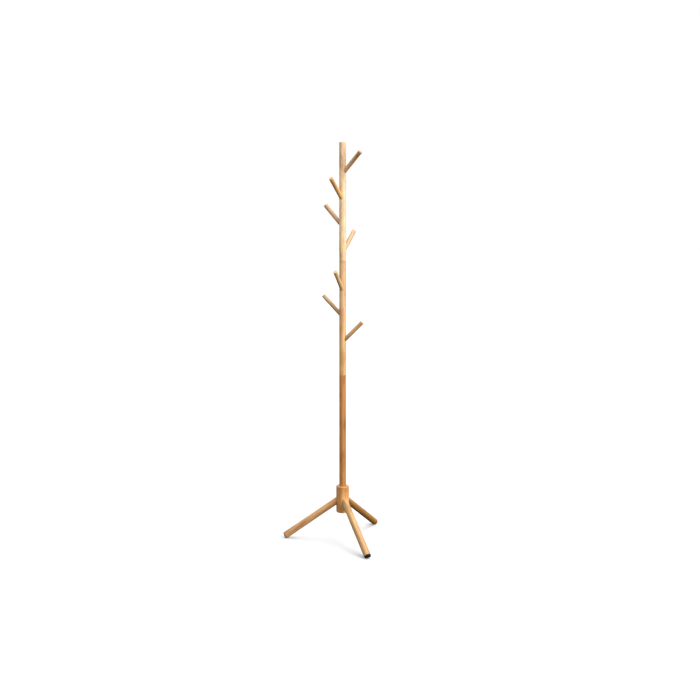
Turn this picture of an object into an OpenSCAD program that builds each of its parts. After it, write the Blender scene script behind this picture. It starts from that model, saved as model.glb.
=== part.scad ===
// Free-standing coat rack in solid wood: a pole of three screwed sections with eight slanted pegs,
// standing in a round hub on three splayed legs. The origin is on the floor under the pole's axis.

/* [Pole] */
// Diameter of the pole
pole_d = 30; // [26:1:45]
// Length of each of the three pole sections
section_len = 500; // [380:5:650]
// Rounding of the pole's free top edge
pole_top_round = 3; // [1:0.5:6]
// Softening of the edges where two sections meet
joint_edge = 0.6; // [0.3:0.1:1.5]

/* [Hub] */
// Diameter of the hub
hub_d = 57; // [46:1:90]
// Height of the hub
hub_h = 120; // [90:1:160]
// Height of the hub's top above the floor
hub_top = 250; // [200:1:400]
// Rounding of the hub's rims
hub_round = 3; // [1:0.5:6]
// Radius left solid round the hub's axis, between the inner ends of the legs' holes
hub_core_r = 7.5; // [7:0.5:10]
// Least wood left between two legs' sockets, which stops a leg's end short in a narrow hub
hub_web = 1.2; // [0.6:0.2:2]

/* [Legs] */
// Diameter of a leg
leg_d = 30; // [22:1:38]
// Distance from the pole's axis to the lowest edge of a leg's wood
foot_circle_r = 248; // [180:1:400]
// Height of that edge above the floor, which only the foot pad touches
leg_floor_gap = 0.6; // [0.3:0.1:1]
// Distance from the hub's top down to where a leg's axis enters the hub
leg_drop = 71; // [50:1:90]
// Depth of a leg's end in its socket, beyond the point where its whole rim is inside the hub
leg_seat = 4; // [2:0.5:8]
// Softening of the edges of a leg's ends
leg_edge = 0.8; // [0.3:0.1:2]

/* [Foot pads] */
// Thickness of a foot pad, before the floor trims its lower edge flat
pad_t = 4; // [3:0.5:8]
// How much narrower a foot pad is than its leg, on the diameter
pad_inset = 1; // [0.4:0.2:2]

/* [Pegs] */
// Diameter of a peg
peg_d = 18; // [12:1:22]
// Length of a peg along its axis, outside the pole
peg_len = 105; // [60:1:180]
// Slope of a peg above the horizontal
peg_slope = 45; // [30:1:55]
// Depth of a peg's end in its socket, beyond the point where its whole rim is inside the pole
peg_seat = 1; // [0.5:0.5:3]
// Rounding of the edge of a peg's tip
peg_tip_round = 1.5; // [0.5:0.1:4]
// Softening of the edge of a peg's seated end
peg_edge = 0.5; // [0.3:0.1:1]
// Height of the lowest peg of a section above the section's lower end
low_peg = 50; // [48:1:120]
// Distance of the highest peg of a section below the section's upper end
high_peg = 117; // [60:1:180]

/* [Studs and inserts] */
// Thread diameter of the studs in the joints of the pole and the legs
big_thread_d = 8; // [6:1:8]
// Outer diameter of the threaded inserts for them
big_insert_d = 11; // [10:0.5:12]
// Length of the threaded inserts in the pole's joints
pole_insert_len = 20; // [12:1:25]
// Length of stud that is screwed into the lower end of a pole section
pole_stud_root = 25; // [18:1:26]
// Length of stud that is screwed into a leg
leg_stud_root = 40; // [25:1:60]
// Thread diameter of the studs in the pegs
small_thread_d = 5; // [4:1:5]
// Outer diameter of the threaded inserts for them
small_insert_d = 8; // [7:0.5:9]
// Length of the threaded inserts for the pegs
peg_insert_len = 9; // [6:1:10]
// Length of stud that is screwed into a peg
peg_stud_root = 22; // [15:1:30]
// Softening of the ends of a stud
stud_edge = 0.6; // [0.3:0.1:1]

/* [Fits] */
// Gap round a leg or a peg in its socket
socket_gap = 0.15; // [0.1:0.05:0.4]
// Gap round a stud or an insert in its hole
thread_gap = 0.05; // [0.05:0.05:0.2]
// Free space past the end of a stud or an insert
end_gap = 1; // [0.5:0.5:2]

/* [Hidden] */
round_fn = 96;
edge_steps = 5;
wood = [0.83, 0.61, 0.39];
end_wood = [0.80, 0.57, 0.36];
steel = [0.72, 0.73, 0.75];
brass = [0.80, 0.66, 0.32];
rubber = [0.20, 0.16, 0.13];

// Legs: a leg's lowest edge is a known point, so its slope and length follow from the hub
leg_azimuths = [180, 300, 60];
leg_sides = ["left", "front", "back"];
leg_ids = [0, 1, 2];
hub_r = hub_d / 2;
leg_r = leg_d / 2;
leg_entry_z = hub_top - leg_drop;
foot_run = foot_circle_r - hub_r;
foot_fall = leg_entry_z - leg_floor_gap;
foot_line = sqrt(foot_run * foot_run + foot_fall * foot_fall);
leg_slope = atan2(foot_fall, foot_run) - asin(leg_r / foot_line);
leg_reach = sqrt(foot_line * foot_line - leg_r * leg_r);
neighbour_angle = 180 / len(leg_azimuths);
socket_spread = (leg_r + socket_gap)
    * sqrt(pow(sin(leg_slope) * sin(neighbour_angle), 2) + pow(cos(neighbour_angle), 2));
leg_end_r = (socket_spread + hub_web / 2) / sin(neighbour_angle);
leg_depth = min(leg_r * tan(leg_slope) + leg_seat, (hub_r - leg_end_r) / cos(leg_slope));
leg_insert_len = (hub_r - hub_core_r) / cos(leg_slope) - leg_depth - end_gap;
pad_d = leg_d - pad_inset;

// Pole: three sections, counted from the hub up
level_names = ["bottom", "middle", "top"];
level_ids = [0, 1, 2];
pole_r = pole_d / 2;
function section_z(level) = hub_top + level * section_len;

// Pegs: rows of [height where the axis meets the pole's surface, azimuth, level], from the top down
top_azimuths = [332, 242, 152, 62];
middle_azimuths = [255, 165, 347, 96];
peg_pitch = (section_len - low_peg - high_peg) / (len(top_azimuths) - 1);
function peg_rows(level, azimuths) =
    let (highest = section_z(level + 1) - high_peg)
    [for (k = [0 : len(azimuths) - 1]) [highest - k * peg_pitch, azimuths[k], level]];
pegs = concat(peg_rows(2, top_azimuths), peg_rows(1, middle_azimuths));
peg_ids = [for (k = [0 : len(pegs) - 1]) k];
peg_depth = peg_d / 2 * tan(peg_slope) + peg_seat;

function side_name(piece, i) = str(piece, "_", leg_sides[i]);
function level_name(piece, i) = str(piece, "_", level_names[i]);
function peg_name(piece, i) = str(piece, "_", i + 1);

// Points of a quarter circle of radius e round [x, y], from angle a
function corner(x, y, e, a) =
    [for (i = [0 : edge_steps])
        let (turn = a + 90 * i / edge_steps)
        [x + e * cos(turn), y + e * sin(turn)]];

// Rod of diameter d and length len standing on z = 0, its edges rounded by low at the foot and high on top
module turned_rod(d, len, low, high) {
    rotate_extrude($fn = round_fn)
        polygon(concat(
            [[0, 0]],
            corner(d / 2 - low, low, low, -90),
            corner(d / 2 - high, len - high, high, 0),
            [[0, len]]
        ));
}

// Straight round hole or rod from z = from to z = to
module round_bar(d, from, to) {
    translate([0, 0, from])
        cylinder(d = d, h = to - from, $fn = round_fn);
}

// Puts its children where a leg's axis enters the hub, with +Z out along the leg
module on_leg(i) {
    rotate([0, 0, leg_azimuths[i]])
        translate([hub_r, 0, leg_entry_z])
            rotate([0, 90 + leg_slope, 0])
                children();
}

// Puts its children where a peg's axis meets the pole, with +Z out along the peg
module on_peg(i) {
    rotate([0, 0, pegs[i][1]])
        translate([pole_r, 0, pegs[i][0]])
            rotate([0, 90 - peg_slope, 0])
                children();
}

// Puts its children on the end face that a pole section stands on, with +Z up
module on_level(i) {
    translate([0, 0, section_z(i)])
        children();
}

// Hole above z = 0 for the root of a stud
module stud_hole(d, root) {
    round_bar(d + 2 * thread_gap, -end_gap, root + end_gap);
}

// Hole below z = 0 for a threaded insert
module insert_hole(d, len) {
    round_bar(d + 2 * thread_gap, -len - end_gap, end_gap);
}

// Socket for a rod of diameter d seated at depth, with an insert's hole behind it
module socket_hole(d, depth, insert_d, insert_len) {
    round_bar(d + 2 * socket_gap, -depth, d);
    translate([0, 0, -depth])
        insert_hole(insert_d, insert_len);
}

// Threaded insert from z = -len to z = 0
module threaded_insert(d, thread_d, len) {
    color(brass)
        difference() {
            round_bar(d, -len, 0);
            round_bar(thread_d + 2 * thread_gap, -len - end_gap, end_gap);
        }
}

// Headless stud through z = 0, with its length below and its length above
module headless_stud(d, below, above) {
    color(steel)
        translate([0, 0, -below])
            turned_rod(d, below + above, stud_edge, stud_edge);
}

module hub() {
    color(wood)
        difference() {
            translate([0, 0, hub_top - hub_h])
                turned_rod(hub_d, hub_h, hub_round, hub_round);
            for (i = leg_ids)
                on_leg(i)
                    socket_hole(leg_d, leg_depth, big_insert_d, leg_insert_len);
            on_level(0)
                insert_hole(big_insert_d, pole_insert_len);
        }
}

module leg(i) {
    color(wood)
        on_leg(i)
            difference() {
                translate([0, 0, -leg_depth])
                    turned_rod(leg_d, leg_depth + leg_reach, leg_edge, leg_edge);
                translate([0, 0, -leg_depth])
                    stud_hole(big_thread_d, leg_stud_root);
            }
}

module foot_pad(i) {
    color(rubber)
        intersection() {
            on_leg(i)
                round_bar(pad_d, leg_reach, leg_reach + pad_t);
            cylinder(r = foot_circle_r + leg_d, h = leg_d);
        }
}

module leg_stud(i) {
    on_leg(i)
        translate([0, 0, -leg_depth])
            headless_stud(big_thread_d, leg_insert_len, leg_stud_root);
}

module leg_insert(i) {
    on_leg(i)
        translate([0, 0, -leg_depth])
            threaded_insert(big_insert_d, big_thread_d, leg_insert_len);
}

module pole(i) {
    last = i == len(level_ids) - 1;
    color(wood)
        difference() {
            on_level(i)
                turned_rod(pole_d, section_len, joint_edge, last ? pole_top_round : joint_edge);
            on_level(i)
                stud_hole(big_thread_d, pole_stud_root);
            if (!last)
                on_level(i + 1)
                    insert_hole(big_insert_d, pole_insert_len);
            for (k = peg_ids)
                if (pegs[k][2] == i)
                    on_peg(k)
                        socket_hole(peg_d, peg_depth, small_insert_d, peg_insert_len);
        }
}

module pole_stud(i) {
    on_level(i)
        headless_stud(big_thread_d, pole_insert_len, pole_stud_root);
}

module pole_insert(i) {
    on_level(i)
        threaded_insert(big_insert_d, big_thread_d, pole_insert_len);
}

module peg(i) {
    color(end_wood)
        on_peg(i)
            difference() {
                translate([0, 0, -peg_depth])
                    turned_rod(peg_d, peg_depth + peg_len, peg_edge, peg_tip_round);
                translate([0, 0, -peg_depth])
                    stud_hole(small_thread_d, peg_stud_root);
            }
}

module peg_stud(i) {
    on_peg(i)
        translate([0, 0, -peg_depth])
            headless_stud(small_thread_d, peg_insert_len, peg_stud_root);
}

module peg_insert(i) {
    on_peg(i)
        translate([0, 0, -peg_depth])
            threaded_insert(small_insert_d, small_thread_d, peg_insert_len);
}

hub();
for (i = leg_ids) {
    leg(i);
    foot_pad(i);
    leg_stud(i);
    leg_insert(i);
}
for (i = level_ids) {
    pole(i);
    pole_stud(i);
    pole_insert(i);
}
for (i = peg_ids) {
    peg(i);
    peg_stud(i);
    peg_insert(i);
}
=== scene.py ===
import math
import random

import bmesh
import bpy
import numpy as np
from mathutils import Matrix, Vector


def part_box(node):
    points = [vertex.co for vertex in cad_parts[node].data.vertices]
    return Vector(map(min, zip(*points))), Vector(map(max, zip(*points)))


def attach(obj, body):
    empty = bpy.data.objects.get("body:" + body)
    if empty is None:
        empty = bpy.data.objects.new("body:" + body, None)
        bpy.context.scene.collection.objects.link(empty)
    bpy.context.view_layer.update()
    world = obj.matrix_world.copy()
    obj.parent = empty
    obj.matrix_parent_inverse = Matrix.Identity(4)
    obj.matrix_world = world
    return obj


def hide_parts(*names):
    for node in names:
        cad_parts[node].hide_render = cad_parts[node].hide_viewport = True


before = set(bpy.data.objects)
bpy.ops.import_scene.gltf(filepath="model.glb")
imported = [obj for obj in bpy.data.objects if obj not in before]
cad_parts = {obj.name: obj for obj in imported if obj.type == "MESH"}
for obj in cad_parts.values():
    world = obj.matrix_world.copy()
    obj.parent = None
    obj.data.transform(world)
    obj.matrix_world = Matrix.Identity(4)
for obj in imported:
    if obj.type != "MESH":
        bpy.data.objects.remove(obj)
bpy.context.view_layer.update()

# Camera: level distance from the pole, bearing round it, and heights, in metres and degrees.
CAMERA_DISTANCE = 4.0
CAMERA_BEARING = 275.77
CAMERA_HEIGHT = 1.4543
LOOK_HEIGHT = 0.9
CAMERA_LENS = 47.66
CAMERA_SHIFT = (0.0105, -0.0130)

# Studio: a pale floor under a white surround that is dark below the horizon, and wide soft
# suns. place is where each shines from, spread its width in degrees, power its strength.
# Between the two heights of HORIZON, on a heading of length 1, the surround turns white.
FLOOR_SIZE = 60.0
FLOOR_TONE = 0.59
FLOOR_CHANGE = 0.01
HORIZON = (-0.17, -0.06)
SURROUND_ABOVE = 1.02
SURROUND_BELOW = 0.03
LIGHTS = {
    "key": dict(place=(2.9, -2.0, 1.6), spread=40.0, power=3.3),
    "top": dict(place=(0.5, 0.3, 3.0), spread=60.0, power=2.2),
}

# Tones of the early wood, linear, at the low and the high end of each piece. Several of them
# hold painted light and shade. The pole's sections are one stain, but their tones run from
# pale at the top to dark at the bottom, as painted light washing over the upper pole. The hub's
# low end is lighter, as painted light against the shade that falls there. The back leg is darker,
# partly its own tone and partly painted shade.
WOOD_TONES_AND_PAINTED_LIGHT = {
    # Painted light: the upper pole paler, as if washed by the light.
    "pole_top": ((0.84, 0.61, 0.335), (0.83, 0.62, 0.39)),
    "pole_middle": ((0.62, 0.375, 0.138), (0.70, 0.445, 0.225)),
    "pole_bottom": ((0.45, 0.215, 0.054), (0.51, 0.22, 0.058)),
    # Painted light: the hub's low end lighter against the shade that falls there.
    "hub": ((0.88, 0.52, 0.20), (0.57, 0.28, 0.092)),
    "leg_left": ((0.54, 0.305, 0.124), (0.50, 0.27, 0.107)),
    "leg_front": ((0.42, 0.24, 0.084), (0.52, 0.32, 0.112)),
    # Partly painted shade: the back leg darker than the others.
    "leg_back": ((0.305, 0.14, 0.031), (0.345, 0.16, 0.037)),
    "peg_2": ((0.78, 0.44, 0.155), (0.78, 0.44, 0.155)),
    "peg_5": ((0.72, 0.47, 0.21), (0.72, 0.47, 0.21)),
    "peg_6": ((0.62, 0.47, 0.27), (0.62, 0.47, 0.27)),
    "peg": ((0.59, 0.36, 0.165), (0.59, 0.36, 0.165)),
}

# Factors on those tones: for late wood, redder patches, pores and fibres, paler patches and
# rubbed edges, and the ends where the grain is cut.
LATE_WOOD = (0.62, 0.50, 0.38)
RED_WOOD = (0.88, 0.73, 0.64)
DEEP = (0.45, 0.34, 0.26)
BRIGHT = (1.10, 1.13, 1.18)
CUT_END = (0.86, 0.90, 0.96)

# Growth rings, in metres: how far beside a piece the pith of its tree ran, how far along the
# tree the piece lay, a year's width and its factor from piece to piece, and how far two noises
# push a ring. Within a year, from 0 to 1, late wood sets in over LATE_RISE and stops over
# LATE_FALL, and LATE_SHARE is how strongly it shows.
PITH_BESIDE = (0.022, 0.05)
PITH_ALONG = (-3, 3)
RING_WIDTH = 0.0034
RING_FACTOR = (0.8, 1.25)
SWAY = 0.016
RIPPLE = 0.0011
LATE_RISE = (0.25, 0.9)
LATE_FALL = (1.0, 0.93)
LATE_SHARE = 0.7

# Noises: bumps per metre across the grain, or a rod, and along it, octaves and roughness.
GRAIN = {
    "sway": (11, 2.4, 1.0, 0.5),
    "ripple": (140, 9, 2.0, 0.5),
    "strength": (60, 1.5, 1.0, 0.5),
    "fibre": (900, 14, 3.0, 0.65),
    "streak": (210, 3.2, 2.0, 0.6),
    "pore": (2400, 110, 1.0, 0.5),
    "cloud": (30, 8, 3.0, 0.55),
    "blush": (40, 14, 2.0, 0.5),
    "speck": (300, 60, 2.0, 0.5),
    "end_dot": (1500, 60, 1.0, 0.5),
}
GRIT = (2200, 2200, 3.0, 0.6)
DUST = (160, 160, 4.0, 0.6)
TURNING = (300, 5200, 2.0, 0.5)
TARNISH = (240, 240, 4.0, 0.6)
FLOOR_CLOUD = (1.5, 1.5, 2.0, 0.5)

# Layers of tone on the wood: the noise, where it sets in and is full, its share when full,
# and its factor.
PORES = (0.62, 0.72)
LAYERS = (
    ("cloud", (0.48, 0.30), 1.0, BRIGHT),
    ("cloud", (0.50, 0.71), 0.9, LATE_WOOD),
    ("blush", (0.48, 0.66), 0.85, RED_WOOD),
    ("streak", (0.45, 0.75), 0.6, LATE_WOOD),
    ("fibre", (0.45, 0.80), 0.35, DEEP),
    ("pore", PORES, 0.4, DEEP),
    ("speck", (0.66, 0.76), 0.35, DEEP),
)

# Ranges for between(): a value's two ends, then what they become, or 0 and 1. An edge is found
# by the cosine between the true and the rounded normal, a cut end by that between the normal
# and the grain.
RING_STRENGTH = (0.2, 0.8, 0.35, 1.0)
EDGE_COSINE = (0.99, 0.84)
END_COSINE = (0.72, 0.92)
END_DOTS = (0.5, 0.7, 0.0, 0.5)
RUBBING = (0.35, 0.6, 0.3, 0.9)
WOOD_ROUGHNESS = (0.3, 0.7, 0.34, 0.46)

# Lacquered wood: the lacquer, what pores and rubbed edges add to its roughness, how far each
# detail stands out, and the bump's strength and height in metres.
LACQUER = dict(Coat_Weight=0.3, Coat_Roughness=0.3, Coat_IOR=1.5, IOR=1.46)
PORE_ROUGHNESS = 0.2
RUBBED_ROUGHNESS = 0.25
FIBRE_RELIEF = 0.5
PORE_RELIEF = -0.7
LATE_RELIEF = -0.25
WOOD_BUMP = (0.35, 0.00012)

# Rubber: linear tones, how strongly they show, the roughness and the bump.
RUBBER_TONE = (0.014, 0.009, 0.007)
DUST_TONE = (0.04, 0.027, 0.02)
GRIT_TONE = (0.006, 0.004, 0.003)
WORN_TONE = (0.07, 0.05, 0.04)
DUST_SHARE = (0.45, 0.75, 0.0, 0.55)
GRIT_SHARE = (0.5, 0.8, 0.0, 0.3)
WORN_SHARE = 0.5
RUBBER_ROUGHNESS = (0.3, 0.7, 0.62, 0.85)
RUBBER_BUMP = (0.4, 0.00015)

# Metals: the clean and the tarnished tone, linear, and the clean roughness. Then how tarnish
# spreads, what it adds to the roughness, how much brighter an edge is, and the bump.
METALS = {
    "steel": ((0.56, 0.55, 0.53), (0.34, 0.32, 0.3), 0.28),
    "brass": ((0.78, 0.56, 0.25), (0.45, 0.3, 0.13), 0.26),
}
TARNISH_SHARE = (0.45, 0.75, 0.0, 0.7)
TARNISH_RANGE = (0.3, 0.7)
TARNISH_ROUGHNESS = 0.16
BRIGHT_EDGE = 1.25
BRIGHT_SHARE = 0.6
METAL_BUMP = (0.3, 0.00005)

# How far an edge's wear reaches on each material, in metres.
WOOD_EDGE = 0.0014
RUBBER_EDGE = 0.0008
METAL_EDGE = 0.0004
EDGE_SAMPLES = 6

# Foot pads, in metres and degrees, or as shares of the pad's radius. The points of a groove and
# of the dimple are shares of its width, or radius, and of its depth. Points nearer than
# SAME_FACE along the leg lie on one face, and nearer than SAME_POINT they are one.
SIDES = ("left", "front", "back")
PAD_SIDES = 96
PAD_RIM = 0.0007
PAD_INNER_EDGE = 0.0003
RIM_STEPS = 4
GROOVES = (0.82, 0.66, 0.5)
GROOVE_WIDTH = 0.0011
GROOVE_DEPTH = 0.0005
GROOVE_POINTS = ((0, 0), (0.3, 1), (0.7, 1), (1, 0))
DIMPLE_SHARE = 0.26
DIMPLE_DEPTH = 0.0012
DIMPLE_POINTS = ((1, 0), (0.85, 0.8), (0.6, 1), (0, 1))
SAME_FACE = 1e-5
SAME_POINT = 1e-6
SHARP_ANGLE = 50


def put(tree, socket, value):
    """Links socket to value where that is a socket too, and otherwise sets it."""
    if isinstance(value, bpy.types.NodeSocket):
        tree.links.new(value, socket)
    else:
        socket.default_value = value


def add(tree, kind, inputs=None, **settings):
    """A new shader node, with values or links for its inputs, by name or number."""
    made = tree.nodes.new(kind)
    for name, value in settings.items():
        setattr(made, name, value)
    for name, value in (inputs or {}).items():
        put(tree, made.inputs[name], value)
    return made


def maths(tree, operation, a, b=0.0):
    return add(tree, "ShaderNodeMath", {0: a, 1: b}, operation=operation).outputs[0]


def times(tree, first, *others):
    for other in others:
        first = maths(tree, "MULTIPLY", first, other)
    return first


def weighted(tree, *terms):
    """The sum of values, each times its weight."""
    total = 0.0
    for value, weight in terms:
        inputs = {0: value, 1: weight, 2: total}
        total = add(tree, "ShaderNodeMath", inputs, operation="MULTIPLY_ADD").outputs[0]
    return total


def vector_maths(tree, operation, a, b=(0, 0, 0)):
    made = add(tree, "ShaderNodeVectorMath", {0: a, 1: b}, operation=operation)
    return made.outputs["Value" if operation in ("LENGTH", "DOT_PRODUCT") else "Vector"]


def noise(tree, vector, across, along, octaves, roughness):
    """A noise value from 0 to 1, with that many bumps per metre across Z and along it."""
    inputs = {
        "Vector": vector_maths(tree, "MULTIPLY", vector, (across, across, along)),
        "Scale": 1.0,
        "Detail": octaves,
        "Roughness": roughness,
    }
    return add(tree, "ShaderNodeTexNoise", inputs).outputs[0]


def between(tree, value, low, high, to_low=0.0, to_high=1.0):
    """value, smoothly carried from the range low..high to the range to_low..to_high."""
    inputs = {
        "Value": value,
        "From Min": low,
        "From Max": high,
        "To Min": to_low,
        "To Max": to_high,
    }
    found = add(tree, "ShaderNodeMapRange", inputs, interpolation_type="SMOOTHSTEP")
    return found.outputs[0]


def mixed(tree, share, a, b, kind="MIX"):
    """Colour a with colour b laid over it by share, which is a socket."""
    node = add(tree, "ShaderNodeMix", data_type="RGBA", blend_type=kind)
    factor, *ends = [s for s in node.inputs if s.enabled]
    tree.links.new(share, factor)
    for end, colour in zip(ends, (a, b)):
        put(tree, end, colour if isinstance(colour, bpy.types.NodeSocket) else (*colour, 1.0))
    return next(s for s in node.outputs if s.enabled)


def toned(tree, colour, share, factor):
    """colour multiplied by factor where share is 1, and left alone where it is 0."""
    return mixed(tree, share, colour, factor, "MULTIPLY")


def edges_of(tree, radius):
    """1 on an edge sharper than radius, 0 away from it."""
    smooth = add(tree, "ShaderNodeBevel", {"Radius": radius}, samples=EDGE_SAMPLES).outputs[0]
    normal = add(tree, "ShaderNodeNewGeometry").outputs["Normal"]
    return between(tree, vector_maths(tree, "DOT_PRODUCT", smooth, normal), *EDGE_COSINE)


def new_material(name, **values):
    """A material with a Principled shader whose constants are values."""
    material = bpy.data.materials.new(name)
    material.use_nodes = True
    tree = material.node_tree
    shader = next(n for n in tree.nodes if n.type == "BSDF_PRINCIPLED")
    for socket, value in values.items():
        shader.inputs[socket.replace("_", " ")].default_value = value
    return material, tree, shader


def finish_surface(tree, shader, colour, roughness, relief, strength, height):
    """Links a surface's colour, roughness and fine relief to its shader."""
    inputs = {"Strength": strength, "Distance": height, "Height": relief}
    bump = add(tree, "ShaderNodeBump", inputs).outputs[0]
    for name, value in (("Base Color", colour), ("Roughness", roughness), ("Normal", bump)):
        tree.links.new(value, shader.inputs[name])


def grain_space(tree, place, middle, axis, chance):
    """place in a piece with Z along its grain: from its middle, and from the tree's pith."""
    turn = axis.to_track_quat("Z", "Y").to_euler()
    inputs = {"Vector": place, "Location": middle, "Rotation": turn}
    local = add(tree, "ShaderNodeMapping", inputs, vector_type="TEXTURE").outputs[0]
    bearing = chance.uniform(0, math.tau)
    beside = chance.uniform(*PITH_BESIDE)
    along = chance.uniform(*PITH_ALONG)
    pith = (beside * math.cos(bearing), beside * math.sin(bearing), along)
    return local, vector_maths(tree, "ADD", local, pith)


def late_wood(tree, grain, found, chance):
    """1 in the dark late wood that ends each growth ring, 0 in the early wood."""
    flat = vector_maths(tree, "MULTIPLY", grain, (1, 1, 0))
    away = vector_maths(tree, "LENGTH", flat)
    out = weighted(tree, (away, 1.0), (found["sway"], SWAY), (found["ripple"], RIPPLE))
    width = RING_WIDTH * chance.uniform(*RING_FACTOR)
    year = maths(tree, "FRACT", maths(tree, "DIVIDE", out, width))
    return times(
        tree,
        between(tree, year, *LATE_RISE),
        between(tree, year, *LATE_FALL),
        between(tree, found["strength"], *RING_STRENGTH),
    )


def wood(name, middle, axis, reach, tones, seed):
    """Lacquered solid wood with its grain along axis: growth rings round a pith beside the piece,
    fibres, pores, slow changes of tone, dotted cut ends and slightly rubbed edges."""
    chance = random.Random(seed)
    material, tree, shader = new_material(name, **LACQUER)
    place = add(tree, "ShaderNodeTexCoord")
    local, grain = grain_space(tree, place.outputs["Object"], middle, axis, chance)
    found = {kind: noise(tree, grain, *facts) for kind, facts in GRAIN.items()}
    late = late_wood(tree, grain, found, chance)
    pore = between(tree, found["pore"], *PORES)
    rubbed = times(tree, edges_of(tree, WOOD_EDGE), between(tree, found["cloud"], *RUBBING))

    height = add(tree, "ShaderNodeSeparateXYZ", {0: local}).outputs["Z"]
    # From the low to the high tone along the piece. On the pole, the hub and the back leg these
    # tones hold painted light and shade.
    colour = mixed(tree, between(tree, height, -reach, reach), *tones)
    for kind, (start, full), share, factor in LAYERS:
        shown = between(tree, found[kind], start, full, 0.0, share)
        colour = toned(tree, colour, shown, factor)
    colour = toned(tree, colour, times(tree, late, LATE_SHARE), LATE_WOOD)

    facing = vector_maths(tree, "DOT_PRODUCT", place.outputs["Normal"], axis)
    end = between(tree, maths(tree, "ABSOLUTE", facing), *END_COSINE)
    dots = times(tree, end, between(tree, found["end_dot"], *END_DOTS))
    for share, factor in ((end, CUT_END), (dots, LATE_WOOD), (rubbed, BRIGHT)):
        colour = toned(tree, colour, share, factor)

    rough = between(tree, found["cloud"], *WOOD_ROUGHNESS)
    rough = weighted(tree, (rough, 1.0), (pore, PORE_ROUGHNESS), (rubbed, RUBBED_ROUGHNESS))
    depths = ((found["fibre"], FIBRE_RELIEF), (pore, PORE_RELIEF), (late, LATE_RELIEF))
    finish_surface(tree, shader, colour, rough, weighted(tree, *depths), *WOOD_BUMP)
    return material


def rubber():
    """Dark brown moulded rubber, dusty and a little worn along its edges."""
    material, tree, shader = new_material("rubber", Specular_IOR_Level=0.2)
    where = add(tree, "ShaderNodeTexCoord").outputs["Object"]
    grit = noise(tree, where, *GRIT)
    dust = noise(tree, where, *DUST)
    worn = times(tree, edges_of(tree, RUBBER_EDGE), WORN_SHARE)
    colour = mixed(tree, between(tree, dust, *DUST_SHARE), RUBBER_TONE, DUST_TONE)
    colour = mixed(tree, between(tree, grit, *GRIT_SHARE), colour, GRIT_TONE)
    colour = mixed(tree, worn, colour, WORN_TONE)
    rough = between(tree, dust, *RUBBER_ROUGHNESS)
    finish_surface(tree, shader, colour, rough, grit, *RUBBER_BUMP)
    return material


def metal(name):
    """Turned metal: fine rings left by the tool, tarnish in patches and brighter edges."""
    clean, tarnished, smoothest = METALS[name]
    material, tree, shader = new_material(name, Metallic=1.0)
    where = add(tree, "ShaderNodeTexCoord").outputs["Object"]
    patch = noise(tree, where, *TARNISH)
    bright = [min(1.0, BRIGHT_EDGE * part) for part in clean]
    edge = times(tree, edges_of(tree, METAL_EDGE), BRIGHT_SHARE)
    colour = mixed(tree, between(tree, patch, *TARNISH_SHARE), clean, tarnished)
    colour = mixed(tree, edge, colour, bright)
    rough = between(tree, patch, *TARNISH_RANGE, smoothest, smoothest + TARNISH_ROUGHNESS)
    finish_surface(tree, shader, colour, rough, noise(tree, where, *TURNING), *METAL_BUMP)
    return material


def new_object(name, data):
    made = bpy.data.objects.new(name, data)
    bpy.context.scene.collection.objects.link(made)
    return made


def vertices_of(node):
    return np.array([v.co for v in node.data.vertices], float)


def rod_of(node):
    """The middle of a node and the direction it is longest in, pointing up."""
    points = vertices_of(node)
    middle = points.mean(0)
    spread = np.linalg.eigh(np.cov((points - middle).T))[1]
    axis = Vector(spread[:, -1])
    return Vector(middle), axis if axis.z > 0 else -axis


def pad_profile(radius, thick):
    """Radius and distance from the wood's end, from the middle of the hidden face round a
    rounded rim and over the grip grooves to the middle of the outer face."""
    points = [(0, 0), (radius - PAD_INNER_EDGE, 0), (radius, PAD_INNER_EDGE)]
    for step in range(RIM_STEPS + 1):
        turn = math.pi / 2 * step / RIM_STEPS
        inward, short = PAD_RIM * (1 - math.cos(turn)), PAD_RIM * (1 - math.sin(turn))
        points.append((radius - inward, thick - short))
    for share in GROOVES:
        for inward, deep in GROOVE_POINTS:
            points.append((share * radius - inward * GROOVE_WIDTH, thick - deep * GROOVE_DEPTH))
    dimple = DIMPLE_SHARE * radius
    for share, deep in DIMPLE_POINTS:
        points.append((share * dimple, thick - deep * DIMPLE_DEPTH))
    return points


def pad_place(pad, leg):
    """The turn from a plain pad's own frame, with Z out of the leg's end, to the row's, and in
    the pad's frame the middle of its face on the wood, its radius and its thickness."""
    outward = -rod_of(leg)[1]
    turn = outward.to_track_quat("Z", "Y").to_matrix()
    points = vertices_of(pad) @ np.array(turn)
    start, end = points[:, 2].min(), points[:, 2].max()
    face = points[points[:, 2] < start + SAME_FACE]
    low, high = face.min(0), face.max(0)
    middle = (low + high) / 2
    middle[2] = start
    return turn, middle, (high - low)[0] / 2, end - start


def turned_mesh(profile, turn, middle):
    """profile swept round Z at middle, then brought to the row frame by turn. Where the profile
    meets Z its ring is one point, and the faces there are triangles."""
    maker = bmesh.new()
    rings = []
    for out, along in profile:
        ring = []
        for k in range(PAD_SIDES if out else 1):
            angle = math.tau * k / PAD_SIDES
            spot = middle + (out * math.cos(angle), out * math.sin(angle), along)
            ring.append(maker.verts.new(turn @ Vector(spot)))
        rings.append(ring)
    for near, far in zip(rings, rings[1:]):
        for k in range(PAD_SIDES):
            after = (k + 1) % PAD_SIDES
            places = ((near, k), (near, after), (far, after), (far, k))
            corners = [ring[place % len(ring)] for ring, place in places]
            maker.faces.new(list(dict.fromkeys(corners)))
    return maker


def cut_at_floor(maker):
    """Takes away what is below the floor, and closes the cut with one flat face."""
    everything = maker.verts[:] + maker.edges[:] + maker.faces[:]
    floor = dict(plane_co=(0, 0, 0), plane_no=(0, 0, 1))
    bmesh.ops.bisect_plane(maker, geom=everything, clear_inner=True, **floor)
    bmesh.ops.contextual_create(maker, geom=[e for e in maker.edges if e.is_boundary])
    bmesh.ops.remove_doubles(maker, verts=maker.verts[:], dist=SAME_POINT)
    bmesh.ops.recalc_face_normals(maker, faces=maker.faces[:])


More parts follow.
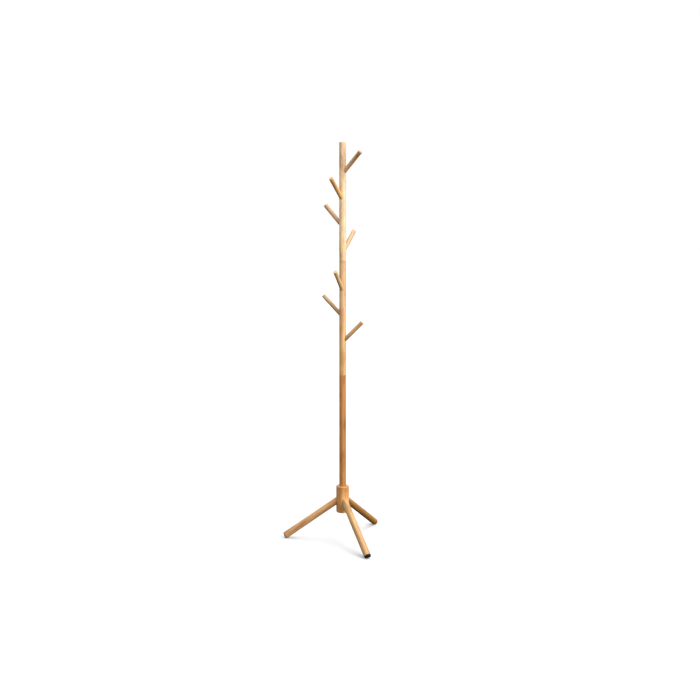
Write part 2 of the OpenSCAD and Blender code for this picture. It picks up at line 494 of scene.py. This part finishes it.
def build_pad(side, material):
    """A moulded rubber pad in the place of the plain CAD one: turned round the leg's axis with
    a soft rim, grip grooves and a dimple, then cut flat where it stands on the floor."""
    name = "rubber_pad_" + side
    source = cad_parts["foot_pad_" + side]
    turn, middle, radius, thick = pad_place(source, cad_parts["leg_" + side])
    maker = turned_mesh(pad_profile(radius, thick), turn, middle)
    cut_at_floor(maker)
    mesh = bpy.data.meshes.new(name)
    maker.to_mesh(mesh)
    maker.free()
    mesh.polygons.foreach_set("use_smooth", [True] * len(mesh.polygons))
    mesh.set_sharp_from_angle(angle=math.radians(SHARP_ANGLE))
    mesh.materials.append(material)
    pad = new_object(name, mesh)
    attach(pad, "root")
    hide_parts(source.name)


def paint(node, material, slot):
    for holder in node.material_slots:
        holder.material = material


def paint_wood(name, node, seed):
    """Wood of a piece's own, with the grain along it, or upright in the hub. Its tone changes
    within reach of its middle, which may be less than half its length where it slants."""
    middle, axis = rod_of(node)
    if name == "hub":
        axis = Vector((0, 0, 1))
    family = name.split("_")[0]
    tones = WOOD_TONES_AND_PAINTED_LIGHT.get(name) or WOOD_TONES_AND_PAINTED_LIGHT[family]
    low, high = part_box(name)
    reach = abs((high - low).dot(axis)) / 2
    paint(node, wood("wood_" + name, middle, axis, reach, tones, seed), family + "_wood")


def paint_all(nodes):
    moulded = rubber()
    plain = {
        "foot_pad": (moulded, "foot_rubber"),
        "stud": (metal("steel"), "stud_steel"),
        "insert": (metal("brass"), "insert_brass"),
    }
    for side in SIDES:
        build_pad(side, moulded)
    for seed, name in enumerate(sorted(nodes)):
        part = next((p for p in plain if p in name), None)
        if part:
            paint(nodes[name], *plain[part])
        else:
            paint_wood(name, nodes[name], seed)


def build_floor():
    half = FLOOR_SIZE / 2
    mesh = bpy.data.meshes.new("floor")
    corners = [(-half, -half, 0), (half, -half, 0), (half, half, 0), (-half, half, 0)]
    mesh.from_pydata(corners, [], [(0, 1, 2, 3)])
    floor = new_object("floor", mesh)
    floor.visible_diffuse = False
    floor.visible_glossy = False
    material, tree, shader = new_material("floor", Roughness=0.8, Specular_IOR_Level=0.2)
    where = add(tree, "ShaderNodeTexCoord").outputs["Object"]
    cloud = noise(tree, where, *FLOOR_CLOUD)
    tones = ((FLOOR_TONE + step,) * 3 for step in (-FLOOR_CHANGE, FLOOR_CHANGE))
    tree.links.new(mixed(tree, cloud, *tones), shader.inputs["Base Color"])
    mesh.materials.append(material)


def aim(thing, place, target):
    thing.location = place
    thing.rotation_euler = (target - place).to_track_quat("-Z", "Y").to_euler()


def build_lights():
    world = bpy.data.worlds.new("studio")
    bpy.context.scene.world = world
    world.use_nodes = True
    tree = world.node_tree
    surround = next(n for n in tree.nodes if n.type == "BACKGROUND")
    surround.inputs["Color"].default_value = (1, 1, 1, 1)
    heading = add(tree, "ShaderNodeTexCoord").outputs["Generated"]
    upward = add(tree, "ShaderNodeSeparateXYZ", {0: heading}).outputs["Z"]
    strength = between(tree, upward, *HORIZON, SURROUND_BELOW, SURROUND_ABOVE)
    tree.links.new(strength, surround.inputs["Strength"])
    for name, facts in LIGHTS.items():
        data = bpy.data.lights.new(name, "SUN")
        data.angle = math.radians(facts["spread"])
        data.energy = facts["power"]
        aim(new_object(name, data), Vector(facts["place"]), Vector())


def build_camera():
    data = bpy.data.cameras.new("camera")
    data.lens = CAMERA_LENS
    data.shift_x, data.shift_y = CAMERA_SHIFT
    camera = new_object("camera", data)
    bearing = math.radians(CAMERA_BEARING)
    place = Vector((math.cos(bearing), math.sin(bearing), 0)) * CAMERA_DISTANCE
    place.z = CAMERA_HEIGHT
    aim(camera, place, Vector((0, 0, LOOK_HEIGHT)))
    bpy.context.scene.camera = camera


build_camera()
build_lights()
build_floor()
paint_all(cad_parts)
bpy.context.scene.view_settings.view_transform = "Standard"
